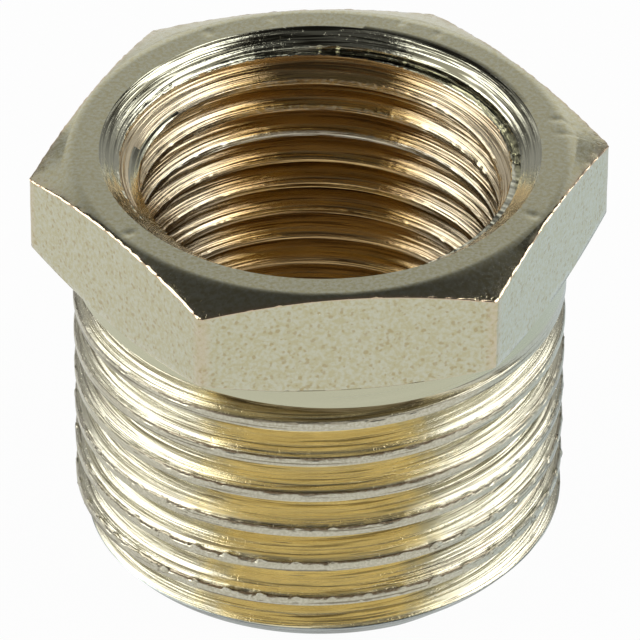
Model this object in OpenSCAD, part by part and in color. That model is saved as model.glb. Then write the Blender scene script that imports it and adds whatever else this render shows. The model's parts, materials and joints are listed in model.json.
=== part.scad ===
// Threaded adapter: a hexagon reducing bush, turned from one piece of hexagon brass bar.
// A large outside pipe thread is below the hexagon head, and a smaller inside pipe thread runs right through.
// The origin is the centre of the threaded end face, +Z runs up the axis to the head, and two flats face -Y and +Y.
// Each thread is a row of ring grooves with its true section and pitch, so that its crests stay true cylinders.

/* [Head] */
// Distance across the flats of the hexagon
across_flats = 21; // [20.8:0.1:24]
// Height of the head at the middle of a flat, from the collar to the top face
head_h = 4.7; // [3.5:0.1:8]
// Inset of the flat ring on top from the flats, where the top chamfer starts
land_inset = 0.1; // [0.05:0.05:0.8]
// Slope of the chamfer on the top and underneath, from level
corner_slope = 21; // [12:1:30]

/* [Outside thread] */
// Diameter at the roots of the outside thread
male_minor_d = 18.6; // [18.2:0.1:18.6]
// Height of the outside thread, from its roots to its crests
male_thread_h = 1.05; // [0.9:0.05:1.1]
// Distance between the crests of the outside thread
male_pitch = 1.814; // [1.7:0.001:2.4]
// Depth of the last groove, which runs out at the collar
run_out_h = 0.47; // [0.3:0.01:0.9]
// Step from the crests in to the plain collar between the head and the thread
collar_step = 0.05; // [0.05:0.05:0.6]
// Height of the plain collar
collar_h = 0.95; // [0.6:0.05:3]
// Length of the threaded shank, from its end face to the collar
shank_l = 12.35; // [8:0.1:20]
// Width of the lead-in chamfer, from the crests in to the flat end face
lead_in_w = 0.75; // [0.4:0.05:1.2]
// Slope of the lead-in chamfer, from the axis
lead_in_slope = 45; // [25:5:60]

/* [Inside thread] */
// Diameter inside the crests of the inside thread
female_minor_d = 14.95; // [14.8:0.05:15.2]
// Height of the inside thread, from its crests to its roots
female_thread_h = 0.855; // [0.75:0.005:0.9]
// Distance between the crests of the inside thread
female_pitch = 1.337; // [1.3:0.001:1.8]
// Drop from the top face to the middle of the first crest
female_crest_drop = 1.69; // [1.6:0.01:2.2]
// Width of the top countersink, from the crests out to the top face
countersink_w = 1.7; // [1.2:0.1:2]
// Slope of both countersinks, from the axis
countersink_slope = 50; // [45:1:60]

/* [Hidden] */
$fn = 120;
// Overshoot of every cutter past the face that it opens
cut = 1;
// Pipe threads have flanks 55 degrees apart, and roots as wide as a sixth of the pitch
flank_angle = 55;
root_share = 1 / 6;
// Heights of the head's underside and of the top face
head_z = shank_l + collar_h;
top_z = head_z + head_h;
// Diameters of the head across its corners and at the edge of its flat ring
across_corners = across_flats / cos(30);
land_d = across_flats - 2 * land_inset;
// Diameters over the outside thread's crests, and at the inside thread's roots
male_major_d = male_minor_d + 2 * male_thread_h;
female_major_d = female_minor_d + 2 * female_thread_h;
// How far a chamfer falls from one diameter to another, when its slope is from level
function fall(wide_d, narrow_d, slope) = (wide_d - narrow_d) / 2 * tan(slope);
// How deep a chamfer runs from one diameter to another, when its slope is from the axis
function depth(wide_d, narrow_d, slope) = (wide_d - narrow_d) / 2 / tan(slope);
// How far a thread's flank runs along the axis for a groove of some height
function flank_run(groove_h) = groove_h * tan(flank_angle / 2);
// Width of a thread groove at the crests, and of the crest that is left beside a full groove
function groove_width(groove_h, pitch) = pitch * root_share + 2 * flank_run(groove_h);
function crest_width(groove_h, pitch) = pitch - groove_width(groove_h, pitch);

// Outline that the head's bar is turned to, chamfered over its corners on the top and underneath
module head_outline() {
    top_corner_z = top_z - fall(across_corners, land_d, corner_slope);
    low_corner_z = head_z + fall(across_corners, across_flats, corner_slope);
    polygon([
        [0, head_z],
        [across_flats / 2, head_z],
        [across_corners / 2, low_corner_z],
        [across_corners / 2, top_corner_z],
        [land_d / 2, top_z],
        [0, top_z]
    ]);
}

// Hexagon head, as the part of the bar that is inside its turned outline
module head() {
    intersection() {
        translate([0, 0, head_z - cut])
            cylinder(h = head_h + 2 * cut, d = across_corners, $fn = 6);
        rotate_extrude()
            head_outline();
    }
}

// Plain collar under the head
module collar() {
    collar_d = male_major_d - 2 * collar_step;
    translate([0, 0, shank_l])
        cylinder(h = collar_h + fall(across_corners, collar_d, corner_slope), d = collar_d);
}

// Cutter for one groove of a thread, from the crests' diameter and the height low_z.
// It is cut inwards on an outside thread, where side is -1, and outwards on an inside thread, where side is 1.
module groove(crest_d, groove_h, side, pitch, low_z) {
    root_r = crest_d / 2 + side * groove_h;
    open_r = crest_d / 2 - side * cut;
    root_z = low_z + flank_run(groove_h);
    rotate_extrude()
        polygon([
            [open_r, low_z - flank_run(cut)],
            [root_r, root_z],
            [root_r, root_z + pitch * root_share],
            [open_r, low_z + groove_width(groove_h, pitch) + flank_run(cut)]
        ]);
}

// Shank over the crests of the outside thread, with its lead-in chamfer
module shank_blank() {
    end_face_d = male_major_d - 2 * lead_in_w;
    lead_in_h = depth(male_major_d, end_face_d, lead_in_slope);
    cylinder(h = lead_in_h, d1 = end_face_d, d2 = male_major_d);
    translate([0, 0, lead_in_h])
        cylinder(h = shank_l - lead_in_h, d = male_major_d);
}

// Threaded shank: a shallow groove where the thread runs out at the collar, and full grooves below it
module shank() {
    run_out_z = shank_l - groove_width(run_out_h, male_pitch);
    difference() {
        shank_blank();
        groove(male_major_d, run_out_h, -1, male_pitch, run_out_z);
        for (turn = [1 : ceil(run_out_z / male_pitch)])
            groove(male_major_d, male_thread_h, -1, male_pitch, run_out_z - turn * male_pitch);
    }
}

// Cone that opens one end of the bore, with its wide end at the origin and its narrow end above
module countersink(wide_d) {
    narrow_h = depth(wide_d, female_minor_d, countersink_slope);
    cylinder(h = narrow_h, d1 = wide_d, d2 = female_minor_d);
    translate([0, 0, -cut])
        cylinder(h = cut, d = wide_d);
}

// Threaded bore, right through and countersunk at both ends. The first groove opens into the top countersink.
module bore() {
    groove_z = top_z - female_crest_drop + crest_width(female_thread_h, female_pitch) / 2;
    translate([0, 0, -cut])
        cylinder(h = top_z + 2 * cut, d = female_minor_d);
    countersink(female_major_d);
    translate([0, 0, top_z])
        mirror([0, 0, 1])
            countersink(female_minor_d + 2 * countersink_w);
    for (turn = [0 : ceil(groove_z / female_pitch)])
        groove(female_minor_d, female_thread_h, 1, female_pitch, groove_z - turn * female_pitch);
}

module reducing_bush() {
    color("#B9B49B")
        difference() {
            union() {
                head();
                collar();
                shank();
            }
            bore();
        }
}

reducing_bush();
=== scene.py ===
import json
import math

import bmesh
import bpy
import numpy as np
from mathutils import Matrix, Vector, noise


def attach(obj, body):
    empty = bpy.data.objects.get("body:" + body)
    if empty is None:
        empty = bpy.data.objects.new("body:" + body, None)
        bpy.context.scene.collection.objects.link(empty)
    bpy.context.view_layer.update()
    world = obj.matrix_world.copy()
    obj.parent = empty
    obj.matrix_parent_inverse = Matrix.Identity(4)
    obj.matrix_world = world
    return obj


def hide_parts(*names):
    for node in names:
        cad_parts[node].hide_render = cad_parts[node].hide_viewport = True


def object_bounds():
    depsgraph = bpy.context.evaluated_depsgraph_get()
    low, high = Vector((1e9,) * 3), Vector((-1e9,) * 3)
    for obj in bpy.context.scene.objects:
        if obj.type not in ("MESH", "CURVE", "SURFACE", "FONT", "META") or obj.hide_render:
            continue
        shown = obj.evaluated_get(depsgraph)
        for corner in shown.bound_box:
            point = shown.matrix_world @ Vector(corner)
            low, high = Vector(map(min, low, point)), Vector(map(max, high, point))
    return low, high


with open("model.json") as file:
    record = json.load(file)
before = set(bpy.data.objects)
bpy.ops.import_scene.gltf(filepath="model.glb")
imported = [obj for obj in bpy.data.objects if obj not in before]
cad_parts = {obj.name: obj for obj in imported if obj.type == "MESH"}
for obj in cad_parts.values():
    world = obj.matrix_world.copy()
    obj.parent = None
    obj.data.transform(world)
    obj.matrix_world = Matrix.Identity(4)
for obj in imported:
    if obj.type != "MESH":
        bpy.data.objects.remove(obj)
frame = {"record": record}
cadLow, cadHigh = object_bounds()

mm = 0.001
mounts = {mount["name"]: mount for mount in frame["record"]["mounts"]}
topHeight = cadHigh.z / mm
flatToFlat = (cadHigh.y - cadLow.y) / mm
maleCrestRadius = mounts["male_thread"]["dims"]["r_mm"]
boreCrestRadius = mounts["female_thread"]["dims"]["r_mm"]
flankTangent = math.tan(math.radians(55 / 2))    # pipe threads have flanks 55 degrees apart
rootShare = 1 / 6                                # width of the root as a share of the pitch
columns = 480                                    # round the bush, and divisible by the six corners


def addObject(name, data):
    thing = bpy.data.objects.new(name, data)
    bpy.context.scene.collection.objects.link(thing)
    return thing


# Camera, as the photograph was taken
camera = {
    "azimuth": -6.475,     # degrees, 0 looks along +Y
    "elevation": 36.164,
    "distance": 304.6,     # mm
    "lens": 406.68,        # mm on a 36 mm sensor
    "roll": 0.347,
    "aimHeight": 9.238,    # mm above the end face
    "aimRight": 0.031,
}
cameraSide = camera["azimuth"] - 90    # degrees round the axis, from +X


def makeCamera(settings):
    azimuth, elevation = math.radians(settings["azimuth"]), math.radians(settings["elevation"])
    back = Vector((math.sin(azimuth) * math.cos(elevation),
                   -math.cos(azimuth) * math.cos(elevation),
                   math.sin(elevation)))
    right = Vector((math.cos(azimuth), math.sin(azimuth), 0))
    aim = right * settings["aimRight"] * mm + Vector((0, 0, settings["aimHeight"] * mm))
    data = bpy.data.cameras.new("photoCamera")
    data.lens = settings["lens"]
    data.sensor_width = 36
    data.clip_start, data.clip_end = 0.01, 100
    shot = addObject("photoCamera", data)
    turn = back.to_track_quat("Z", "Y").to_matrix() @ Matrix.Rotation(math.radians(settings["roll"]), 3, "Z")
    shot.matrix_world = Matrix.Translation(aim + back * settings["distance"] * mm) @ turn.to_4x4()
    bpy.context.scene.camera = shot


makeCamera(camera)
print("camera set")


# Small helpers for node trees
def addNode(tree, kind, **settings):
    node = tree.nodes.new(kind)
    for key, value in settings.items():
        setattr(node, key, value)
    return node


# A value in a node tree. Plain arithmetic on it adds Math nodes to that tree.
class Reading:
    def __init__(self, socket):
        self.socket = socket

    __abs__ = lambda self: calc("ABSOLUTE", self)
    __floor__ = lambda self: calc("FLOOR", self)
    __round__ = lambda self: calc("ROUND", self)
    __lt__ = lambda self, other: calc("LESS_THAN", self, other)
    __gt__ = lambda self, other: calc("GREATER_THAN", self, other)
    __add__ = lambda self, other: calc("ADD", self, other)
    __radd__ = lambda self, other: calc("ADD", other, self)
    __sub__ = lambda self, other: calc("SUBTRACT", self, other)
    __rsub__ = lambda self, other: calc("SUBTRACT", other, self)
    __mul__ = lambda self, other: calc("MULTIPLY", self, other)
    __truediv__ = lambda self, other: calc("DIVIDE", self, other)
    __pow__ = lambda self, other: calc("POWER", self, other)


def plug(socket, value):
    if isinstance(value, Reading):
        socket.id_data.links.new(value.socket, socket)
    else:
        socket.default_value = value


def feed(node, values):
    for name, value in values.items():
        plug(node.inputs[name], value)
    return node


def treeOf(*values):
    return next(value.socket.id_data for value in values if isinstance(value, Reading))


def calc(operation, *values):
    node = addNode(treeOf(*values), "ShaderNodeMath", operation=operation)
    for socket, value in zip(node.inputs, values):
        plug(socket, value)
    return Reading(node.outputs[0])


def least(first, second):
    return calc("MINIMUM", first, second)


def most(first, second):
    return calc("MAXIMUM", first, second)


def cosine(angle):
    return calc("COSINE", angle)


def sine(angle):
    return calc("SINE", angle)


def clamped(value):
    value.socket.node.use_clamp = True
    return value


# What a node puts out, by name
def readingsOf(node):
    return {socket.name: Reading(socket) for socket in node.outputs}


def firstOf(node):
    return Reading(node.outputs[0])


def partsOf(vector):
    parts = addNode(treeOf(vector), "ShaderNodeSeparateXYZ")
    plug(parts.inputs[0], vector)
    return [Reading(socket) for socket in parts.outputs]


def vectorOf(x, y, z):
    vector = addNode(treeOf(x, y, z), "ShaderNodeCombineXYZ")
    for socket, value in zip(vector.inputs, (x, y, z)):
        plug(socket, value)
    return firstOf(vector)


def noiseOf(vector, scale, detail=2.0, rough=0.5):
    texture = addNode(treeOf(vector), "ShaderNodeTexNoise")
    return firstOf(feed(texture, {"Vector": vector, "Scale": scale, "Detail": detail, "Roughness": rough}))


# How the crests are worn, along their upper edges
crestWear = {
    "evenBurr": 0.75,      # height and ranges, times the burr height
    "coarseRange": 2.6,
    "fineRange": 2,
    "tornRange": 7,        # more, where the burrs are torn
    "tornReach": 0.09,     # share of a turn, to each side
    "lumpMiddle": 0.5,     # shares of the way from one lump to the next
    "lumpReach": 0.17,
    "dipMiddle": 0.36,
    "dipReach": 0.1,
    "lumpRise": 0.35,      # height on the crest behind the edge, times a lump's
    "dipDepth": 0.3,
    "leastLump": 0.4,      # size and range, times the lump height
    "lumpRange": 0.9,
    "wanderCells": 34,     # noise cells from the axis to the rim, for how the rim wanders
}
snapReach = 0.006 * mm     # points this near a rim go onto it, so that they weld
weldReach = 0.0002 * mm


# One wall of a thread: rows follow the helix, and end at level rims below and above
def buildThreadTree():
    tree = bpy.data.node_groups.new("threadWall", "GeometryNodeTree")
    tree.interface.new_socket(name="Geometry", in_out="OUTPUT", socket_type="NodeSocketGeometry")
    counts = (
        "Columns", "Turns", "Low Flank Rows", "Root Rows", "High Flank Rows", "Crest Rows", "Coarse Rows")
    sizes = (
        "Pitch", "Crest Radius", "Groove Height", "Groove Side", "Groove Z", "Run-out Turns", "End Turn",
        "Low Z", "High Z", "Low Cone Z", "Low Cone Slope", "High Cone Z", "High Cone Slope", "Seam Angle",
        "Edge Break", "Burr Height", "Burrs In A Turn", "Lump Height", "Lumps In A Turn", "Lump Start",
        "Lumps Fade Z", "Torn Turn", "Rim Wander", "Seed")
    for names, kind in ((counts, "Int"), (sizes, "Float"), (("Material",), "Material")):
        for name in names:
            tree.interface.new_socket(name=name, in_out="INPUT", socket_type="NodeSocket" + kind)
    given = readingsOf(addNode(tree, "NodeGroupInput"))

    partRows = [given[name] for name in ("Low Flank Rows", "Root Rows", "High Flank Rows", "Crest Rows")]
    partStarts = [0]
    for count in partRows:
        partStarts.append(partStarts[-1] + count)
    rowsInTurn = partStarts.pop()
    rows = given["Turns"] * rowsInTurn
    grid = addNode(tree, "GeometryNodeMeshGrid")
    feed(grid, {"Size X": 1, "Size Y": 1, "Vertices X": given["Columns"] + 1, "Vertices Y": rows + 1})
    gridX, gridY, _ = partsOf(firstOf(addNode(tree, "GeometryNodeInputPosition")))
    row = round((gridY + 0.5) * rows)
    column = round((gridX + 0.5) * given["Columns"])
    pairedColumn = math.floor(column * 0.5) * 2
    isCoarse = row < given["Coarse Rows"]
    column = column - isCoarse * (column - pairedColumn)
    roundShare = column / given["Columns"]
    turn = math.floor(row / rowsInTurn)
    rowInTurn = row - turn * rowsInTurn
    travelled = turn + roundShare

    # A turn has four parts: lower flank, root, upper flank and crest
    def grooveHeight(turnShare):
        return clamped((given["End Turn"] - turnShare) / given["Run-out Turns"]) * given["Groove Height"]

    def partDone(number):
        return clamped((rowInTurn - partStarts[number]) / partRows[number])

    # Rows crowd towards the crest's upper edge, which is broken and has burrs
    lowDone, rootDone, highDone, crestDone = (partDone(number) for number in range(4))
    lowDone = lowDone ** 1.5
    crestDone = crestDone * 1.2
    highDone = highDone * 2 - highDone * highDone
    rootWidth = given["Pitch"] * rootShare
    flank = grooveHeight(travelled) * flankTangent
    crestWidth = given["Pitch"] - rootWidth - flank * 2
    offset = 0
    for done, width in ((lowDone, flank), (rootDone, rootWidth), (highDone, flank), (crestDone, crestWidth)):
        offset = done * width + offset
    helixZ = given["Groove Z"] + given["Pitch"] * roundShare
    rawZ = given["Pitch"] * turn + helixZ + offset

    # Where the top cone cuts the highest groove, the rows end on that edge
    coneSlope, coneZ = given["High Cone Slope"], given["High Cone Z"]
    rootMeetsCone = coneZ + given["Groove Height"] / coneSlope
    fullFlank = given["Groove Height"] * flankTangent
    room = rootMeetsCone - fullFlank - helixZ
    topGrooveZ = math.floor(room / given["Pitch"]) * given["Pitch"] + helixZ
    topGrooveEnd = fullFlank * 2 + topGrooveZ + rootWidth
    meet = coneSlope * flankTangent
    crossing = (meet * coneZ + topGrooveEnd) / (meet + 1)
    rim = least(most(least(crossing, rootMeetsCone), coneZ), given["High Z"])

    fullAngle = roundShare * (2 * math.pi)
    cells = crestWear["wanderCells"]
    wander = noiseOf(vectorOf(cosine(fullAngle) * cells, sine(fullAngle) * cells, given["Seed"]), 1) - 0.5
    rim = most(wander, 0) * given["Rim Wander"] + rim
    z = least(most(rawZ, given["Low Z"]), rim)

    def snapTo(level):
        near = abs(z - level) < snapReach
        return near * (level - z) + z

    z = snapTo(rim)
    z = snapTo(given["Low Z"])

    # Depth of the groove or of an end cone at that height
    turnsUp = math.floor((z - helixZ) / given["Pitch"])
    along = z - helixZ - turnsUp * given["Pitch"]
    here = grooveHeight(turnsUp + roundShare)
    opening = here * 2 * flankTangent + rootWidth
    lowFlank = along / flankTangent
    highFlank = (opening - along) / flankTangent
    groove = most(least(least(lowFlank, highFlank), here), 0)
    lowCone = (given["Low Cone Z"] - z) * given["Low Cone Slope"]
    highCone = (z - coneZ) * coneSlope
    depth = most(groove, most(lowCone, highCone))

    def clear(value, start, length):
        return clamped((value - start) / length)

    def peak(value, middle, reach):
        return clamped(1 - abs(value - middle) / reach)

    # Wear fades out near both ends and where the groove is shallow
    keep = clear(z, given["Low Cone Z"] + 0.05 * mm, 0.2 * mm) * clear(here, 0.1 * mm, 0.3 * mm)
    keep = keep * clear(least(rim, coneZ) - z, 0.05 * mm, 0.15 * mm)

    # Burrs on the crest's upper edge, taller where they are torn
    burrTravel = travelled * given["Burrs In A Turn"]
    burr = noiseOf(vectorOf(burrTravel, given["Seed"], 0.5), 1, 3) - 0.5
    fineBurr = noiseOf(vectorOf(burrTravel * 2.7, given["Seed"], 4.5), 1, 1) - 0.5
    torn = peak(roundShare, given["Torn Turn"], crestWear["tornReach"])
    torn = torn * clear(given["Lumps Fade Z"] - z, 1.5 * mm, 2 * mm)
    fineRange = torn * crestWear["tornRange"] + crestWear["fineRange"]
    burrShare = burr * crestWear["coarseRange"] + (fineBurr * fineRange + crestWear["evenBurr"])
    burrSize = most(given["Burr Height"] * burrShare, 0) * keep
    isEdge = calc("COMPARE", rowInTurn, 0, 0.1)
    isBehind = calc("COMPARE", rowInTurn, 1, 0.1)

    # Chatter lumps with a dip beside each, in line from turn to turn
    beat = travelled * given["Lumps In A Turn"] + (given["Lump Start"] + crestDone * 0.1)
    beatNumber = math.floor(beat)
    phase = beat - beatNumber
    dice = addNode(tree, "ShaderNodeTexWhiteNoise", noise_dimensions="1D")
    plug(dice.inputs["W"], beatNumber + given["Seed"])
    lumpSize = (firstOf(dice) * crestWear["lumpRange"] + crestWear["leastLump"]) * given["Lump Height"]
    lumpSize = lumpSize * keep * clear(given["Lumps Fade Z"] - z, 0, 5 * mm)
    lump = peak(phase, crestWear["lumpMiddle"], crestWear["lumpReach"])
    dip = peak(phase, crestWear["dipMiddle"], crestWear["dipReach"])
    onCrest = crestDone > 0.01
    lumps = (lump * crestWear["lumpRise"] - dip * crestWear["dipDepth"]) * (lumpSize * most(onCrest, isEdge))
    tooth = lump * lumpSize * (isBehind * 0.15 + isEdge)
    edgeBreak = given["Edge Break"] * keep * isEdge
    proud = lumps + burrSize * (isBehind * -0.5 + isEdge)
    depth = depth - proud + edgeBreak
    lift = burrSize * (isBehind * 0.25 + isEdge * 0.6)
    z = z + (lift + tooth)
    radius = depth * given["Groove Side"] + given["Crest Radius"]

    angle = fullAngle + given["Seam Angle"]
    point = vectorOf(radius * cosine(angle), radius * sine(angle), z)
    geometry = firstOf(grid)
    for kind, values in (("GeometryNodeSetPosition", {"Position": point}),
                         ("GeometryNodeMergeByDistance", {"Distance": weldReach}),
                         ("GeometryNodeRealizeInstances", {}),
                         ("GeometryNodeSetMaterial", {"Material": given["Material"]})):
        geometry = firstOf(feed(addNode(tree, kind), values | {"Geometry": geometry}))
    feed(addNode(tree, "NodeGroupOutput"), {"Geometry": geometry})
    return tree


def makeThreadWall(name, tree, values):
    blank = addObject(name, bpy.data.meshes.new(name))
    modifier = blank.modifiers.new(name, "NODES")
    modifier.node_group = tree
    for item in tree.interface.items_tree:
        if item.in_out == "INPUT" and item.name in values:
            modifier[item.identifier] = values[item.name]
    ready = blank.evaluated_get(bpy.context.evaluated_depsgraph_get())
    wall = bpy.data.meshes.new_from_object(ready)
    bpy.data.objects.remove(blank)
    return wall


# Outside thread: G1/2, with its last groove running out under the head
maleThread = {
    "pitch": 1.814,
    "grooveHeight": 1.14,
    "rows": (5, 2, 2, 3),       # on a lower flank, a root, an upper flank and a crest
    "coarseTurns": 0,           # turns at the bottom that have half the columns
    "firstCrest": 11.33,        # height of the first crest below the head, towards the camera
    "runOutEnd": 55,            # degrees to the right of the camera side
    "runOutAngle": 115,         # degrees over which the groove gets shallower
    "rimHeight": 12.75,
    "leadInHeight": 0.95,
    "leadInSlope": 0.79,
    "edgeBreak": 0.08,
    "burrHeight": 0.055,
    "burrsInATurn": 110,
    "lumpHeight": 0.16,
    "lumpsInATurn": 43,
    "lumpAt": 3.5,              # degrees to the right of the camera side
    "lumpsFadeHeight": 8.5,
    "tornAt": -48,              # degrees to the right of the camera side
    "rimWander": 0,
    "seed": 3.0,
}

# Inside thread: G3/8, right through
boreThread = {
    "pitch": 1.337,
    "grooveHeight": 0.855,
    "crestAtBack": 16.31,
    "mouthRadius": 9.175,
    "countersinkSlope": math.tan(math.radians(50)),
    "rows": (3, 1, 2, 2),
    "coarseTurns": 8,
    "edgeBreak": 0.05,
    "burrHeight": 0.018,
    "burrsInATurn": 170,
    "rimWander": 0.25,
    "reliefTurns": (25, 80, 175, 205),    # degrees to the right of the camera side
    "reliefDepth": 0.38,
    "reliefShare": 0.68,                  # of the way down the countersink
    "reliefEnd": 0.93,
    "reliefWall": 0.05,                   # how far its wall leans in
    "burrShare": 0.965,                   # where burrs stand up beside the lower rim
    "rimBurr": 0.06,
    "startTurns": (-140, -55),            # where the highest groove leaves the countersink bare below it
    "lipTurns": (85, 115, 165, 185),
    "lipHeight": 0.09,
    "lipShare": 0.34,
    "seed": 11.0,
}
seamAngle = 90    # degrees: both walls start at the back


# Lower edge of the groove above a crest, taken to the seam
def grooveStart(crestZ, crestAngle, pitch, height):
    crestWidth = pitch * (1 - rootShare) - 2 * height * flankTangent
    turned = ((crestAngle - seamAngle) % 360) / 360
    return crestZ + crestWidth / 2 - pitch * turned


# Share of a turn from the seam to a side of the bush
def turnShareOf(toTheRight):
    return ((cameraSide + toTheRight - seamAngle) % 360) / 360


def wallValues(thread, crestRadius, side, topGroove, material):
    pitch = thread["pitch"]
    turnsBelow = math.ceil((topGroove + pitch) / pitch)
    lowFlank, root, highFlank, crest = thread["rows"]
    return turnsBelow, {
        "Columns": columns, "Coarse Rows": sum(thread["rows"]) * thread["coarseTurns"],
        "Low Flank Rows": lowFlank, "Root Rows": root, "High Flank Rows": highFlank, "Crest Rows": crest,
        "Pitch": pitch * mm, "Crest Radius": crestRadius * mm, "Groove Height": thread["grooveHeight"] * mm,
        "Groove Side": side, "Groove Z": (topGroove - turnsBelow * pitch) * mm,
        "Low Z": 0.0, "Seam Angle": math.radians(seamAngle), "Edge Break": thread["edgeBreak"] * mm,
        "Burr Height": thread["burrHeight"] * mm, "Burrs In A Turn": thread["burrsInATurn"],
        "Rim Wander": thread["rimWander"] * mm, "Seed": thread["seed"], "Material": material,
    }


def maleValues(thread, material):
    topGroove = grooveStart(thread["firstCrest"], cameraSide, thread["pitch"], thread["grooveHeight"])
    turnsBelow, values = wallValues(thread, maleCrestRadius, -1.0, topGroove, material)
    return values | {
        "Turns": turnsBelow + 2, "Run-out Turns": thread["runOutAngle"] / 360,
        "End Turn": turnShareOf(thread["runOutEnd"]) + turnsBelow,
        "High Z": thread["rimHeight"] * mm, "High Cone Z": 1.0, "High Cone Slope": 1.0,
        "Low Cone Z": thread["leadInHeight"] * mm, "Low Cone Slope": thread["leadInSlope"],
        "Lump Height": thread["lumpHeight"] * mm, "Lumps In A Turn": thread["lumpsInATurn"],
        "Lump Start": (0.5 - turnShareOf(thread["lumpAt"]) * thread["lumpsInATurn"]) % 1,
        "Lumps Fade Z": thread["lumpsFadeHeight"] * mm, "Torn Turn": turnShareOf(thread["tornAt"]),
    }


# Height where the countersink meets the crests of the inside thread
def countersinkStart(thread):
    return topHeight - (thread["mouthRadius"] - boreCrestRadius) / thread["countersinkSlope"]


# The lumps stay at 0, as this thread has none
def boreValues(thread, material):
    height, slope = thread["grooveHeight"], thread["countersinkSlope"]
    topGroove = grooveStart(thread["crestAtBack"], seamAngle, thread["pitch"], height)
    turnsBelow, values = wallValues(thread, boreCrestRadius, 1.0, topGroove, material)
    return values | {
        "Turns": turnsBelow + 1, "Run-out Turns": 1e-6, "End Turn": 1000.0,    # it never runs out
        "Low Cone Z": height / slope * mm, "Low Cone Slope": slope,
        "High Z": topHeight * mm, "High Cone Z": countersinkStart(thread) * mm, "High Cone Slope": slope,
    }


# Shader groups that the metals share
def makeGroup(name, inputs, outputs):
    tree = bpy.data.node_groups.new(name, "ShaderNodeTree")
    for label, value in inputs.items():
        socket = tree.interface.new_socket(name=label, in_out="INPUT", socket_type="NodeSocketFloat")
        socket.default_value = value
    for label in outputs:
        tree.interface.new_socket(name=label, in_out="OUTPUT", socket_type="NodeSocketFloat")
    return tree, readingsOf(addNode(tree, "NodeGroupInput")), addNode(tree, "NodeGroupOutput").inputs


def useGroup(tree, group, values):
    return readingsOf(feed(addNode(tree, "ShaderNodeGroup", node_tree=group), values))


def placeOf(tree):
    return readingsOf(addNode(tree, "ShaderNodeTexCoord"))["Object"]


def rampOf(value, low, high, toLow=0.0, toHigh=1.0):
    ramp = addNode(treeOf(value), "ShaderNodeMapRange", interpolation_type="SMOOTHSTEP")
    for socket, setting in zip(ramp.inputs, (value, low, high, toLow, toHigh)):
        plug(socket, setting)
    return firstOf(ramp)


def mixOf(share, first, second):
    mix = addNode(treeOf(share), "ShaderNodeMix", data_type="RGBA")
    for socket, value in ((mix.inputs[0], share), (mix.inputs[6], first), (mix.inputs[7], second)):
        plug(socket, (*value, 1) if isinstance(value, tuple) else value)
    return Reading(mix.outputs[2])


# Where a point is on turned work, in mm, and how far along the thread's lines
def buildLatheGroup():
    tree, given, out = makeGroup("lathe", {"Pitch": 1.8, "Seam Side": 1.0},
                                 ("X", "Y", "Around", "Across", "Radius", "Height"))
    x, y, z = (part / mm for part in partsOf(placeOf(tree)))
    turned = calc("ARCTAN2", x * given["Seam Side"], y * (given["Seam Side"] * -1))
    around = turned / (2 * math.pi) + 0.5
    radius = (x * x + y * y) ** 0.5
    across = z - around * given["Pitch"]
    for socket, value in zip(out, (x, y, around, across, radius, z)):
        plug(socket, value)
    return tree


# Fine and broad lines that a lathe tool leaves, and short tears along them
def buildTurningGroup():
    inputs = {"Around": 0.0, "Across": 0.0, "Radius": 0.0, "Lines": 10.0, "Breaks": 20.0}
    tree, given, out = makeGroup("turning", inputs, ("Fine", "Broad", "Tears"))

    def lines(breakShare, lineShare, seed, detail):
        count = given["Lines"] * lineShare
        around = given["Around"] * (given["Breaks"] * breakShare) + seed
        return noiseOf(vectorOf(around, given["Across"] * count, given["Radius"] * count), 1, detail, 0.6)

    plug(out["Fine"], lines(1.0, 1.0, 0.0, 2))
    plug(out["Broad"], lines(0.35, 0.3, 40.0, 1))
    plug(out["Tears"], rampOf(lines(1.5, 0.7, 90.0, 2), 0.64, 0.72))
    return tree


# Grain of a plated face: mottling, small pits and soft patches
def buildGrainGroup():
    inputs = {"X": 0.0, "Y": 0.0, "Height": 0.0, "Scale": 1.0}
    tree, given, out = makeGroup("grain", inputs, ("Mottle", "Pits", "Patches"))
    place = vectorOf(*(given[name] * given["Scale"] for name in ("X", "Y", "Height")))
    mottle = noiseOf(place, 5.5, 3, 0.6)
    plug(out["Mottle"], mottle)
    cell = readingsOf(feed(addNode(tree, "ShaderNodeTexVoronoi"), {"Vector": place, "Scale": 4.2}))
    near = cell["Distance"] + (mottle - 0.5) * 0.9
    plug(out["Pits"], rampOf(partsOf(cell["Color"])[0] * 0.42 - near, -0.1, 0.1))
    plug(out["Patches"], noiseOf(place, 0.6, 2))
    return tree


latheGroup, turningGroup, grainGroup = buildLatheGroup(), buildTurningGroup(), buildGrainGroup()


def turningOf(tree, lathe, look):
    place = {name: lathe[name] for name in ("Around", "Across", "Radius")}
    return useGroup(tree, turningGroup, place | {"Lines": look["lines"], "Breaks": look["breaks"]})


def grainOf(tree, lathe, scale):
    place = {name: lathe[name] for name in ("X", "Y", "Height")}
    return useGroup(tree, grainGroup, place | {"Scale": scale})


# 1 towards the camera and straight away from it, and -1 at the left and right, where the softbox highlights
# fall; the grooves are painted brassy at 1 and paler at -1 as a painted highlight tint
def facingOf(lathe, look):
    return cosine((lathe["Around"] - look["brassyTurn"]) * (4 * math.pi))


# Relief of the turning lines, in mm
def linesOf(marks, look):
    return (marks["Fine"] + marks["Broad"] * look["broadShare"]) * look["lineHeight"]


def startMetal(name):
    material = bpy.data.materials.new(name)
    material.use_nodes = True
    tree = material.node_tree
    return material, tree, feed(tree.nodes["Principled BSDF"], {"Metallic": 1})


# Light spreads across the turning lines, and less along them
def spreadAcross(tree, shader, amount):
    lines = firstOf(addNode(tree, "ShaderNodeTangent", direction_type="RADIAL", axis="Z"))
    feed(shader, {"Tangent": lines, "Anisotropic": amount, "Anisotropic Rotation": 0.25})


def roughen(shader, unevenness, look):
    plug(shader.inputs["Roughness"], (unevenness - 0.5) * look["roughnessRange"] + look["roughness"])


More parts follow.
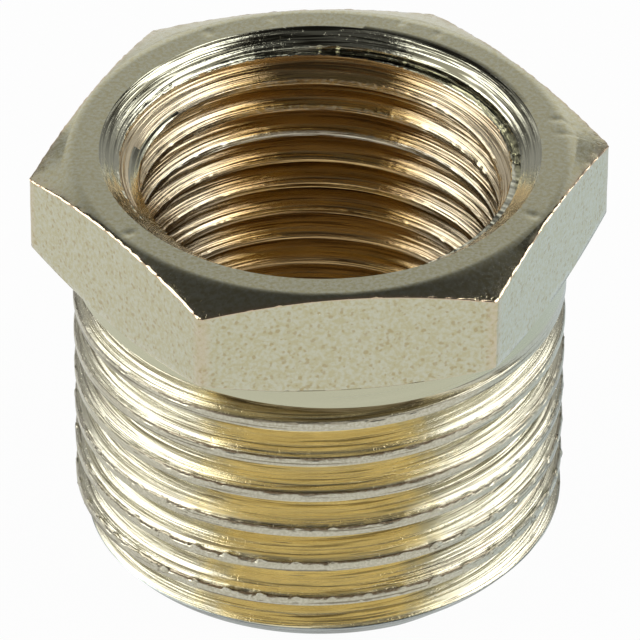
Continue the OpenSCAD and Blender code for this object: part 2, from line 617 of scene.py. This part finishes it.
# Relief in mm
def emboss(tree, shader, relief):
    bump = addNode(tree, "ShaderNodeBump")
    plug(shader.inputs["Normal"], firstOf(feed(bump, {"Strength": 1, "Distance": mm, "Height": relief})))


headLook = {
    "nickel": (0.515, 0.51, 0.39),
    "tan": (0.46, 0.43, 0.27),
    "pit": (0.34, 0.26, 0.12),
    "worn": (0.60, 0.44, 0.30),
    "roughness": 0.16,
    "roughnessRange": 0.14,
    "grainHeight": 0.004,
}

threadLook = {
    "nickel": (0.56, 0.55, 0.46),
    "brass": (0.87, 0.75, 0.43),
    "dusty": (0.46, 0.435, 0.33),
    "crest": (0.54, 0.52, 0.415),
    "collar": (0.50, 0.495, 0.355),
    # painted shade: the dark line along each crest's upper edge
    "lip": (0.13, 0.08, 0.035),
    # painted reflection of the shaded floor under the bush, on the lead-in chamfer
    "leadInShade": (0.30, 0.33, 0.31),
    # dark tears, and painted shade in the turning lines and in the run-out under the collar
    "tearAndShade": (0.07, 0.045, 0.018),
    "brassyTurn": 0.482,    # share of a turn towards the camera, where the grooves are painted most brassy, and opposite; paler at the sides as a painted highlight tint
    "collarStart": 12.2,    # height
    "shadeStart": 11.72,     # height in the run-out where its painted shade starts
    "shadeReach": 0.085,     # share of a turn, to each side of the camera side, of the run-out's painted shade
    "lines": 9.0,           # per mm
    "breaks": 11.0,         # per turn
    "lineHeight": 0.042,    # mm, of the fine lines
    "broadShare": 3,        # height of the broad lines, times the fine lines'
    "pitDepth": 0.004,
    "tearDepth": 0.02,
    "roughness": 0.26,
    "roughnessRange": 0.16,
    "spread": 0.9,
}

boreLook = {
    "nickel": (0.62, 0.59, 0.48),
    "brass": (0.62, 0.44, 0.21),
    "dull": (0.51, 0.35, 0.13),
    # painted shade, towards the bottom of the bore and in the turning lines
    "deep": (0.14, 0.085, 0.03),
    "silverCrest": 12.97,    # height of the best plated crest, less its rise round the bore
    "silverStart": 14.2,     # height above which the other crests are partly plated
    "brassyTurn": 0.482,
    "lines": 11.0,
    "breaks": 9.0,
    "lineHeight": 0.04,
    "broadShare": 2.5,
    "tearDepth": 0.008,
    "roughness": 0.21,
    "roughnessRange": 0.14,
    "spread": 0.9,
}

mouthLook = {
    "nickel": (0.54, 0.53, 0.41),
    "smooth": (0.68, 0.67, 0.53),    # where few lines show, away from the back; lighter than the nickel, as painted light
    "shade": (0.07, 0.066, 0.045),
    "backTurn": 0.482,
    "lines": 9.0,
    "breaks": 12.0,
    "lineHeight": 0.035,
    "broadShare": 2,
    "pitDepth": 0.004,
    "chatterHeight": 0.01,
    "roughness": 0.14,
    "roughnessRange": 0.16,
}


def makeHeadPlate(name, look):
    material, tree, shader = startMetal(name)
    lathe = useGroup(tree, latheGroup, {})
    grain = grainOf(tree, lathe, 1.0)
    worn = readingsOf(addNode(tree, "ShaderNodeAttribute", attribute_name="edgeWear"))["Fac"]
    colour = mixOf(rampOf(grain["Mottle"], 0.35, 0.65), look["tan"], look["nickel"])
    onWall = rampOf(lathe["Height"], topHeight - 0.15, topHeight - 0.7, 0.25, 1.0)
    pits = grain["Pits"] * onWall
    colour = mixOf(pits * 0.5, colour, look["pit"])
    colour = mixOf(worn * rampOf(grain["Mottle"], 0.3, 0.6, 0.3, 0.9), colour, look["worn"])
    plug(shader.inputs["Base Color"], colour)
    roughen(shader, grain["Mottle"], look)
    emboss(tree, shader, (grain["Mottle"] - pits) * (onWall * look["grainHeight"]))
    return material


def makeThreadPlate(name, look):
    material, tree, shader = startMetal(name)
    lathe = useGroup(tree, latheGroup, {"Pitch": maleThread["pitch"]})
    marks = turningOf(tree, lathe, look)
    grain = grainOf(tree, lathe, 1.6)
    depth = maleCrestRadius - lathe["Radius"]
    leadInDepth = (maleThread["leadInHeight"] - lathe["Height"]) * maleThread["leadInSlope"]
    offLeadIn = rampOf(abs(depth - leadInDepth), 0.04, 0.09)
    collar = look["collarStart"]
    onCollar = rampOf(lathe["Height"], collar, collar + 0.05) * rampOf(depth, 0.12, 0.08)
    grooved = rampOf(depth, 0.05, 0.3) * offLeadIn
    # brassy flanks towards the camera and away from it, in random patches, and paler nickel at the sides
    # where the highlights fall: partly plating patches, partly a painted highlight tint
    facing = facingOf(lathe, look)
    brassy = rampOf(grain["Patches"] * 0.8 + facing, 0.75, 1.2, 0.15, 1.0)
    crest = mixOf(rampOf(grain["Mottle"], 0.4, 0.62), look["dusty"], look["crest"])
    # the lead-in chamfer gets a painted reflection of the shaded floor under the bush
    crest = mixOf(offLeadIn, look["leadInShade"], mixOf(onCollar, crest, look["collar"]))
    flank = mixOf(brassy, look["nickel"], look["brass"])
    colour = mixOf(grooved, crest, flank)
    # painted shade in the grooves of the fine turning lines
    lined = rampOf(marks["Fine"], 0.46, 0.36, 0.0, 0.6) * (1 - onCollar)
    colour = mixOf(lined, colour, look["tearAndShade"])
    colour = mixOf(marks["Tears"] * (grooved * 0.6), colour, look["tearAndShade"])
    # painted shade: a dark line along each crest's upper edge, strongest towards the camera, fainter near the
    # collar and the lead-in
    lip = rampOf(depth, 0.015, 0.04) * rampOf(depth, 0.13, 0.09)
    lip = lip * rampOf(lathe["Height"], maleThread["leadInHeight"] - 0.2, maleThread["leadInHeight"])
    lip = lip * rampOf(grain["Mottle"], 0.35, 0.55, 0.5, 0.9)
    lip = lip * rampOf(facing, -0.4, 0.8, 0.3, 1.0)
    lip = lip * rampOf(lathe["Height"], collar - 0.5, collar - 1.0, 0.3, 1.0)
    colour = mixOf(lip, colour, look["lip"])
    # painted shade in the upper run-out groove under the collar, towards the camera
    runOutShade = rampOf(lathe["Height"], look["shadeStart"], look["shadeStart"] + 0.08, 0.0, 0.8)
    runOutShade = runOutShade * rampOf(depth, 0.1, 0.2)
    runOutShade = runOutShade * rampOf(abs(lathe["Around"] - look["brassyTurn"]), look["shadeReach"],
                                     look["shadeReach"] - 0.025)
    colour = mixOf(runOutShade, colour, look["tearAndShade"])
    plug(shader.inputs["Base Color"], colour)
    roughen(shader, marks["Broad"], look)
    relief = linesOf(marks, look) - grain["Pits"] * look["pitDepth"] - marks["Tears"] * look["tearDepth"]
    emboss(tree, shader, relief * rampOf(depth, 0.02, 0.1, 0.15, 1.0))
    spreadAcross(tree, shader, look["spread"])
    return material


def makeBorePlate(name, look):
    material, tree, shader = startMetal(name)
    lathe = useGroup(tree, latheGroup, {"Pitch": boreThread["pitch"], "Seam Side": -1.0})
    marks = turningOf(tree, lathe, look)
    grain = grainOf(tree, lathe, 1.0)
    onCrest = rampOf(lathe["Radius"] - boreCrestRadius, 0.1, 0.02)
    offSilver = abs(lathe["Across"] - look["silverCrest"])
    high = rampOf(lathe["Height"], look["silverStart"], look["silverStart"] + 0.4, 0.0, 0.4)
    silver = most(rampOf(grain["Mottle"], 0.45, 0.6) * high, rampOf(offSilver, 0.35, 0.25, 0.0, 0.9))
    facing = facingOf(lathe, look)
    colour = mixOf(rampOf(marks["Broad"], 0.35, 0.65), look["dull"], look["brass"])
    # paler nickel at the left and right, where the highlights fall: a painted highlight tint
    colour = mixOf(rampOf(facing, 0.75, 0.1, 0.0, 0.6), colour, look["nickel"])
    # painted shade, darker towards the bottom of the bore
    colour = mixOf(rampOf(lathe["Height"], 12.0, 3.0, 0.0, 0.35), colour, look["deep"])
    # painted shade in the grooves of the fine turning lines
    colour = mixOf(rampOf(marks["Fine"], 0.47, 0.36, 0.0, 0.75), colour, look["deep"])
    colour = mixOf(onCrest * silver, colour, look["nickel"])
    plug(shader.inputs["Base Color"], colour)
    roughen(shader, marks["Broad"], look)
    emboss(tree, shader, linesOf(marks, look) - marks["Tears"] * look["tearDepth"])
    spreadAcross(tree, shader, look["spread"])
    return material


def makeMouthPlate(name, look):
    material, tree, shader = startMetal(name)
    lathe = useGroup(tree, latheGroup, {"Pitch": 0.0, "Seam Side": -1.0})
    marks = turningOf(tree, lathe, look)
    grain = grainOf(tree, lathe, 2.4)
    chatter = grainOf(tree, lathe, 0.45)
    # away from the back the countersink is painted lighter with fewer lines, as painted light; at the back,
    # painted shade darkens the grooves of the turning lines
    turned = rampOf(abs(lathe["Around"] - look["backTurn"]), 0.2, 0.26, 1.0, 0.15)
    shaded = rampOf(marks["Fine"], 0.56, 0.43) * turned
    colour = mixOf(shaded, mixOf(turned, look["smooth"], look["nickel"]), look["shade"])
    plug(shader.inputs["Base Color"], colour)
    roughen(shader, marks["Broad"], look)
    pits = grain["Pits"] * rampOf(chatter["Mottle"], 0.5, 0.6)
    relief = linesOf(marks, look) - pits * look["pitDepth"]
    emboss(tree, shader, chatter["Mottle"] * look["chatterHeight"] + relief * turned)
    return material


headPlate = makeHeadPlate("headPlate", headLook)
threadPlate = makeThreadPlate("threadPlate", threadLook)
borePlate = makeBorePlate("borePlate", boreLook)
mouthPlate = makeMouthPlate("mouthPlate", mouthLook)
print("metals made")

threadTree = buildThreadTree()
maleWall = makeThreadWall("maleWall", threadTree, maleValues(maleThread, threadPlate))
boreWall = makeThreadWall("boreWall", threadTree, boreValues(boreThread, borePlate))
print("thread walls made:", len(maleWall.polygons), len(boreWall.polygons), "faces")


# Head: rows from the collar over the hexagon to the countersink
head = {
    "height": 4.7,
    "collarRadius": 10.34,
    "collarLap": 0.15,          # from the thread's rim up to the collar's first row
    "collarFillet": 0.03,
    "landRadius": 10.34,
    "cornerSlope": math.tan(math.radians(21)),
    "cornerRadius": 0.3,
    "arcSteps": 8,
    "edge": 0.1,                # size of the worn edges
    "edgeSteps": ((0.12, 0.45), (0.45, 0.05)),    # in and down, as shares of the edge
    "chamferRows": (0.35, 0.7),
    "edgeBurr": 0.04,
    "cornerWear": 0.35,
    "waviness": 0.012,
    "wallRows": 9,
    "landRows": 5,
    "seed": 7.0,
}

# Dents: degrees to the right of the camera side, radius, height, reach and depth in mm
dents = [
    (-23.5, 12.1, 16.1, 0.35, 0.10),
    (-28.0, 12.0, 15.2, 0.25, 0.05),
    (-52.0, 9.9, 18.0, 0.16, 0.05),
    (-151.0, 9.9, 18.0, 0.18, 0.05),
    (-168.0, 10.0, 18.0, 0.16, 0.04),
    (160.0, 10.1, 18.0, 0.14, 0.05),
    (150.0, 10.0, 18.0, 0.16, 0.05),
    (103.0, 10.2, 18.0, 0.16, 0.05),
    (97.0, 10.2, 18.0, 0.14, 0.04),
    (62.0, 9.9, 18.0, 0.18, 0.05),
    (36.5, 12.1, 15.7, 0.22, 0.06),
]


# Outline points of the rounded hexagon, one for each column from the seam, and how near each is to a corner
def hexagonColumns(cornerRadius, arcSteps):
    apothem = flatToFlat / 2
    perFlat = columns // 6
    halfFlat = (perFlat - arcSteps) / 2
    halfStraight = (apothem - cornerRadius) * math.tan(math.radians(30))
    side, corner = [], []
    for step in range(perFlat):
        if step <= halfFlat:
            side.append((apothem, halfStraight * step / halfFlat))
            corner.append(max(0, head["cornerWear"] - halfStraight * (1 - step / halfFlat)))
        elif step < halfFlat + arcSteps:
            bend = math.radians(60) * (step - halfFlat) / arcSteps
            side.append((apothem - cornerRadius + cornerRadius * math.cos(bend),
                         halfStraight + cornerRadius * math.sin(bend)))
            corner.append(head["cornerWear"])
        else:
            back = halfStraight * (1 - (step - halfFlat - arcSteps) / halfFlat)
            side.append((apothem * 0.5 + back * math.sin(math.radians(60)),
                         apothem * math.sin(math.radians(60)) - back * 0.5))
            corner.append(max(0, head["cornerWear"] - (halfStraight - back)))
    points = []
    for flat in range(6):
        spin = math.radians(seamAngle + 60 * flat)
        for x, y in side:
            points.append((x * math.cos(spin) - y * math.sin(spin), x * math.sin(spin) + y * math.cos(spin)))
    return np.array(points), np.array(corner * 6)


def wave(points, scale, seed):
    return np.array([noise.noise(Vector((point[0] * scale, point[1] * scale, point[2] * scale + seed)))
                     for point in points])


# Pushes rows of points in where a dent is, and makes them a little uneven
def weather(points, amount):
    flat = points.copy()
    flat[:, 2] = 0
    out = flat / np.linalg.norm(flat, axis=1)[:, None]
    points = points + out * (wave(points, 0.9, head["seed"]) * amount)[:, None]
    for turned, radius, z, reach, depth in dents:
        angle = math.radians(cameraSide + turned)
        middle = np.array([radius * math.cos(angle), radius * math.sin(angle), z])
        near = np.exp(-(np.linalg.norm(points - middle, axis=1) / reach) ** 2) * depth
        points = points - out * near[:, None]
        points[:, 2] -= near * (z > topHeight - 0.2)
    return points


def headRows():
    outline, corner = hexagonColumns(head["cornerRadius"], head["arcSteps"])
    reach = np.hypot(outline[:, 0], outline[:, 1])
    away = outline / reach[:, None]
    even = np.radians(seamAngle + 360 * np.arange(columns) / columns)
    level = np.stack([np.cos(even), np.sin(even)], axis=1)
    underside = topHeight - head["height"]
    edge = head["edge"]
    rows = []

    def ring(directions, radius, z, wear=0.0, burr=0.0, amount=0.0):
        points = np.column_stack([directions * np.broadcast_to(radius, columns)[:, None],
                                  np.broadcast_to(z, columns)])
        if burr:
            rough = np.abs(wave(points, 2.6, 20.0)) + 0.6 * np.abs(wave(points, 7.0, 31.0))
            points[:, :2] += directions * (rough * burr)[:, None]
            points[:, 2] += rough * burr
        rows.append((weather(points, amount), np.broadcast_to(wear, columns)))

    lowEdge = underside + (reach - flatToFlat / 2) * head["cornerSlope"]
    topEdge = topHeight - (reach - head["landRadius"]) * head["cornerSlope"]
    ring(level, head["collarRadius"], maleThread["rimHeight"] + head["collarLap"])
    ring(level, head["collarRadius"], underside - head["collarFillet"])
    ring(level, head["collarRadius"] + head["collarFillet"], underside)
    ring(away, flatToFlat / 2 - edge, underside)
    ring(away, reach - edge / 2, lowEdge + 0.2 * edge, 0.6)
    ring(away, reach, lowEdge + edge, 0.8 * corner)
    for step in range(1, head["wallRows"]):
        share = step / head["wallRows"]
        ring(away, reach, lowEdge + share * (topEdge - lowEdge), corner, 0.0, head["waviness"])
    ring(away, reach, topEdge - edge, corner)
    for stepIn, stepDown in head["edgeSteps"]:
        ring(away, reach - edge * stepIn, topEdge - edge * stepDown, 1.0, head["edgeBurr"])
    chamferZ = topEdge + edge * head["cornerSlope"]
    ring(away, reach - edge, chamferZ, 0.3)
    for share in head["chamferRows"]:
        ring(away, (reach - edge) * (1 - share) + head["landRadius"] * share,
             chamferZ * (1 - share) + topHeight * share, 0.0, 0.0, head["waviness"])
    for step in range(head["landRows"] + 1):
        share = step / head["landRows"]
        ring(level, head["landRadius"] * (1 - share) + boreThread["mouthRadius"] * share, topHeight)
    return rows


# The wall's highest or lowest point in each column, in order round the axis from the seam
def rimOf(wall, atTop, count):
    best = {}
    for vertex in wall.vertices:
        angle = math.degrees(math.atan2(vertex.co.y, vertex.co.x)) - seamAngle
        column = round(angle / 360 * count) % count
        offColumn = abs((angle / 360 * count + 0.5) % 1 - 0.5)
        height = vertex.co.z if atTop else -vertex.co.z
        if offColumn < 0.1 and (column not in best or height > best[column][0]):
            best[column] = (height, tuple(vertex.co / mm))
    return np.array([best[column][1] for column in sorted(best)])


# A low lip stands on the countersink, and a narrow relief sinks into it and leaves a thin burred rim
def sinkRelief(points, share, ridge):
    turned = (np.degrees(np.arctan2(points[:, 1], points[:, 0])) - cameraSide) % 360
    size = np.interp(turned, boreThread["reliefTurns"], (0, 1, 1, 0))[:, None]
    lip = np.interp(turned, boreThread["lipTurns"], (0, 1, 1, 0)) * boreThread["lipHeight"]
    near = min(share / boreThread["lipShare"], (1 - share) / (1 - boreThread["lipShare"]))
    points = points + np.column_stack([np.zeros((len(points), 2)), lip * near])
    steps = max(0, share - boreThread["reliefShare"]) / (boreThread["reliefEnd"] - boreThread["reliefShare"])
    if steps > 0:
        inward = -ridge / np.hypot(ridge[:, 0], ridge[:, 1])[:, None]
        inward[:, 2] = 0
        wall = ridge + inward * boreThread["reliefWall"] * steps
        wall[:, 2] -= boreThread["reliefDepth"] * steps
        points = points * (1 - size) + wall * size
    return points


# Burrs that stand up close to the countersink's lower rim
def raiseBurrs(points):
    rough = np.maximum(wave(points, 3.1, 50.0) + wave(points, 7.3, 60.0), 0) * boreThread["rimBurr"]
    return points + np.column_stack([np.zeros((len(points), 2)), rough])


# Whether a face of the bore's wall is part of the bare countersink, where the highest groove starts
def isOnCountersink(face):
    coneStart = countersinkStart(boreThread)
    x, y, z = face.calc_center_median() / mm
    turned = (math.degrees(math.atan2(y, x)) - cameraSide + 180) % 360 - 180
    low, high = boreThread["startTurns"]
    offCone = math.hypot(x, y) - boreCrestRadius - (z - coneStart) * boreThread["countersinkSlope"]
    return z > coneStart and low < turned < high and abs(offCone) < 0.02


class Shell:
    def __init__(self):
        self.points, self.wear, self.faces, self.slots = [], [], [], []

    def row(self, points, wear=0.0):
        start = len(self.points)
        self.points += [tuple(point) for point in points]
        self.wear += list(np.broadcast_to(wear, len(points)))
        return list(range(start, start + len(points)))

    # Faces between two rows, where the upper may have a whole number of times the lower's points
    def bridge(self, low, high, slot):
        if len(low) < len(high):
            times = len(high) // len(low)
            for i in range(len(low)):
                nextLow = low[(i + 1) % len(low)]
                fan = [high[(i * times + step) % len(high)] for step in range(times + 1)]
                half = (times + 1) // 2
                for step in range(half):
                    self.faces.append((low[i], fan[step + 1], fan[step]))
                self.faces.append((low[i], nextLow, fan[half]))
                for step in range(half, times):
                    self.faces.append((nextLow, fan[step + 1], fan[step]))
                self.slots += [slot] * (times + 1)
        else:
            for i in range(len(low)):
                j = (i + 1) % len(low)
                self.faces.append((low[i], low[j], high[j], high[i]))
            self.slots += [slot] * len(low)


def buildBush():
    shell = Shell()
    maleTop, maleBottom = rimOf(maleWall, True, columns), rimOf(maleWall, False, columns)
    boreTop, boreBottom = rimOf(boreWall, True, columns), rimOf(boreWall, False, columns // 2)
    print("rims:", len(maleTop), len(maleBottom), len(boreTop), len(boreBottom))
    rings = [shell.row(maleTop)] + [shell.row(points, wear) for points, wear in headRows()]
    for number, (low, high) in enumerate(zip(rings, rings[1:])):
        shell.bridge(low, high, 1 if number < 2 else 0)
    last = rings[-1]
    lastPoints = np.array([shell.points[i] for i in last])

    # Rows down the countersink
    def down(share):
        return lastPoints * (1 - share) + boreTop * share

    ridgeShare = boreThread["reliefShare"]
    for share in (0.17, 0.34, 0.51, ridgeShare, 0.8, boreThread["reliefEnd"]):
        middle = shell.row(sinkRelief(down(share), share, down(ridgeShare)))
        shell.bridge(last, middle, 3)
        last = middle
    burred, rim = shell.row(raiseBurrs(down(boreThread["burrShare"]))), shell.row(boreTop)
    shell.bridge(last, burred, 3)
    shell.bridge(burred, rim, 3)
    outer, inner = shell.row(maleBottom), shell.row(boreBottom)
    shell.bridge(inner, outer, 1)

    mesh = bpy.data.meshes.new("bushHead")
    mesh.from_pydata([tuple(c * mm for c in point) for point in shell.points], [], shell.faces)
    mesh.polygons.foreach_set("material_index", shell.slots)
    mesh.attributes.new("edgeWear", "FLOAT", "POINT").data.foreach_set("value", shell.wear)
    join = bmesh.new()
    join.from_mesh(mesh)
    for slot, wall in ((1, maleWall), (2, boreWall)):
        count = len(join.faces)
        join.from_mesh(wall)
        join.faces.ensure_lookup_table()
        for face in join.faces[count:]:
            face.material_index = 3 if slot == 2 and isOnCountersink(face) else slot
    bmesh.ops.remove_doubles(join, verts=join.verts, dist=0.0004 * mm)
    bmesh.ops.dissolve_degenerate(join, edges=join.edges, dist=0.0001 * mm)
    bmesh.ops.recalc_face_normals(join, faces=join.faces)
    for face in join.faces:
        face.smooth = True
    openEdges = sum(1 for e in join.edges if not e.is_manifold)
    triangles = sum(len(face.verts) - 2 for face in join.faces)
    print("bush:", len(join.faces), "faces,", triangles, "triangles,", openEdges, "open edges, volume",
          round(join.calc_volume() / mm ** 3, 1), "mm3")
    join.to_mesh(mesh)
    join.free()
    for material in (headPlate, threadPlate, borePlate, mouthPlate):
        mesh.materials.append(material)
    mesh.set_sharp_from_angle(angle=math.radians(32))
    return addObject("plated_bush", mesh)


bush = buildBush()
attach(bush, "root")
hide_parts("reducing_bush")
print("bush made")


# Studio: a tent that is dark on top, a softbox at each side, dark flags that the metal mirrors, a white floor
studio = {
    "softboxCorners": ((61, 12), (59, 64), (118, 54), (126, 10)),    # turn and elevation
    "softboxLevel": 1.8,
    "softboxShine": 4.4,           # as metal sees it
    "tintTurn": 125,
    "tintDistance": 0.055,
    "tintWidth": 0.08,
    "tintColour": (0.77, 0.86, 0.94),
    "flags": {"flagLeft": (-142, 14, 0.2, 0.22, 0.33), "flagRight": (142, 14, 0.2, 0.22, 0.33),
              "limbFlagLeft": (-127, 42, 0.15, 0.16, 0.03), "limbFlagRight": (127, 42, 0.15, 0.16, 0.03),
              "flagFront": (0, 48, 0.75, 0.42, 0.09)},    # turn, elevation, width, height and level
    "softboxDistance": 0.5,
    "flagDistance": 0.45,
    "tentRadius": 1.2,
    "tentLevels": (1.0, 0.075),
    "tentHeights": (0.3, 0.9),     # share of the radius where it is white, and where it is dark
    "fill": 0.55,
    "floorWidth": 6,
    "floor": 0.85,
    "floorGlow": 0.965,
}


def emitter(name, strength):
    material = bpy.data.materials.new(name)
    material.use_nodes = True
    tree = material.node_tree
    tree.nodes.clear()
    glow = feed(addNode(tree, "ShaderNodeEmission"), {"Strength": strength})
    feed(addNode(tree, "ShaderNodeOutputMaterial"), {"Surface": firstOf(glow)})
    return material, glow


def addStage(name, points, material, faces=((0, 1, 2, 3),), seen=False):
    mesh = bpy.data.meshes.new(name)
    mesh.from_pydata(points, [], faces)
    mesh.materials.append(material)
    thing = addObject(name, mesh)
    thing.visible_camera = seen
    return thing


def towards(turn, elevation):
    azimuth, lift = math.radians(cameraSide + turn), math.radians(elevation)
    return Vector((math.cos(azimuth) * math.cos(lift), math.sin(azimuth) * math.cos(lift), math.sin(lift)))


def makeSoftbox(name, side):
    level, shine = studio["softboxLevel"], studio["softboxShine"]
    material, glow = emitter(name, level)
    light = readingsOf(addNode(glow.id_data, "ShaderNodeLightPath"))
    plug(glow.inputs["Strength"], light["Is Glossy Ray"] * (shine - level) + level)
    corners = [towards(side * turn, elevation) * studio["softboxDistance"]
               for turn, elevation in studio["softboxCorners"]]
    addStage(name, corners, material)


square = ((-1, -1), (1, -1), (1, 1), (-1, 1))


# Flags stand just inside the softboxes
def makeFlag(name, turn, elevation, wide, high, level):
    material, _ = emitter(name, level)
    away = towards(turn, elevation)
    turnTo = away.to_track_quat("Z", "Y").to_matrix()
    middle = away * studio["flagDistance"]
    corners = [turnTo @ Vector((x * wide / 2, y * high / 2, 0)) + middle for x, y in square]
    addStage(name, corners, material)


# Cool sheet on the floor behind the right, which only the metal sees: a painted reflection of the shaded
# floor beside the bush
def makeTint():
    material, glow = emitter("shadeReflectionSheet", 1.0)
    glow.inputs["Color"].default_value = (*studio["tintColour"], 1)
    middle, half = towards(studio["tintTurn"], 0) * studio["tintDistance"], studio["tintWidth"] / 2
    corners = [middle + Vector((x * half, y * half, 0.0002)) for x, y in square]
    sheet = addStage("shadeReflectionSheet", corners, material)
    sheet.visible_diffuse = False
    sheet.visible_shadow = False


for side, word in ((-1, "Left"), (1, "Right")):
    makeSoftbox("softbox" + word, side)
for name, values in studio["flags"].items():
    makeFlag(name, *values)
makeTint()


def makeTent():
    material, glow = emitter("tent", 1.0)
    height = partsOf(placeOf(glow.id_data))[2] / studio["tentRadius"]
    plug(glow.inputs["Strength"], rampOf(height, *studio["tentHeights"], *studio["tentLevels"]))
    sides, steps = 32, 12
    points, faces = [], []
    for step in range(steps):
        lift = math.radians(8 + 81 * step / (steps - 1))
        for side in range(sides):
            turn = 2 * math.pi * side / sides
            points.append(studio["tentRadius"] * Vector((
                math.cos(lift) * math.cos(turn), math.cos(lift) * math.sin(turn), math.sin(lift))))
    for step in range(steps - 1):
        for side in range(sides):
            low, high = step * sides, (step + 1) * sides
            faces.append((low + side, low + (side + 1) % sides, high + (side + 1) % sides, high + side))
    faces.append(tuple((steps - 1) * sides + side for side in range(sides)))
    addStage("tent", points, material, faces)


# The camera and the metal see floor and world as white
def seenDirectly(tree):
    light = readingsOf(addNode(tree, "ShaderNodeLightPath"))
    return most(most(light["Is Camera Ray"], light["Is Glossy Ray"]), light["Is Transmission Ray"])


def makeFloor():
    material = bpy.data.materials.new("floor")
    material.use_nodes = True
    tree = material.node_tree
    paint = feed(tree.nodes["Principled BSDF"], {
        "Base Color": (studio["floor"],) * 3 + (1,), "Roughness": 0.9, "Specular IOR Level": 0.0})
    mix = addNode(tree, "ShaderNodeMixShader")
    plug(mix.inputs[0], seenDirectly(tree) * studio["floorGlow"])
    plug(mix.inputs[1], firstOf(paint))
    plug(mix.inputs[2], firstOf(addNode(tree, "ShaderNodeEmission")))
    feed(tree.nodes["Material Output"], {"Surface": firstOf(mix)})
    half = studio["floorWidth"] / 2
    addStage("floor", [(x * half, y * half, 0) for x, y in square], material, seen=True)


def makeWorld():
    world = bpy.data.worlds.new("studio")
    world.use_nodes = True
    bpy.context.scene.world = world
    tree = world.node_tree
    tree.nodes.clear()
    glow = feed(addNode(tree, "ShaderNodeBackground"), {"Strength": most(seenDirectly(tree), studio["fill"])})
    feed(addNode(tree, "ShaderNodeOutputWorld"), {"Surface": firstOf(glow)})


makeTent()
makeFloor()
makeWorld()
bpy.context.scene.view_settings.view_transform = "Standard"
print("studio set")
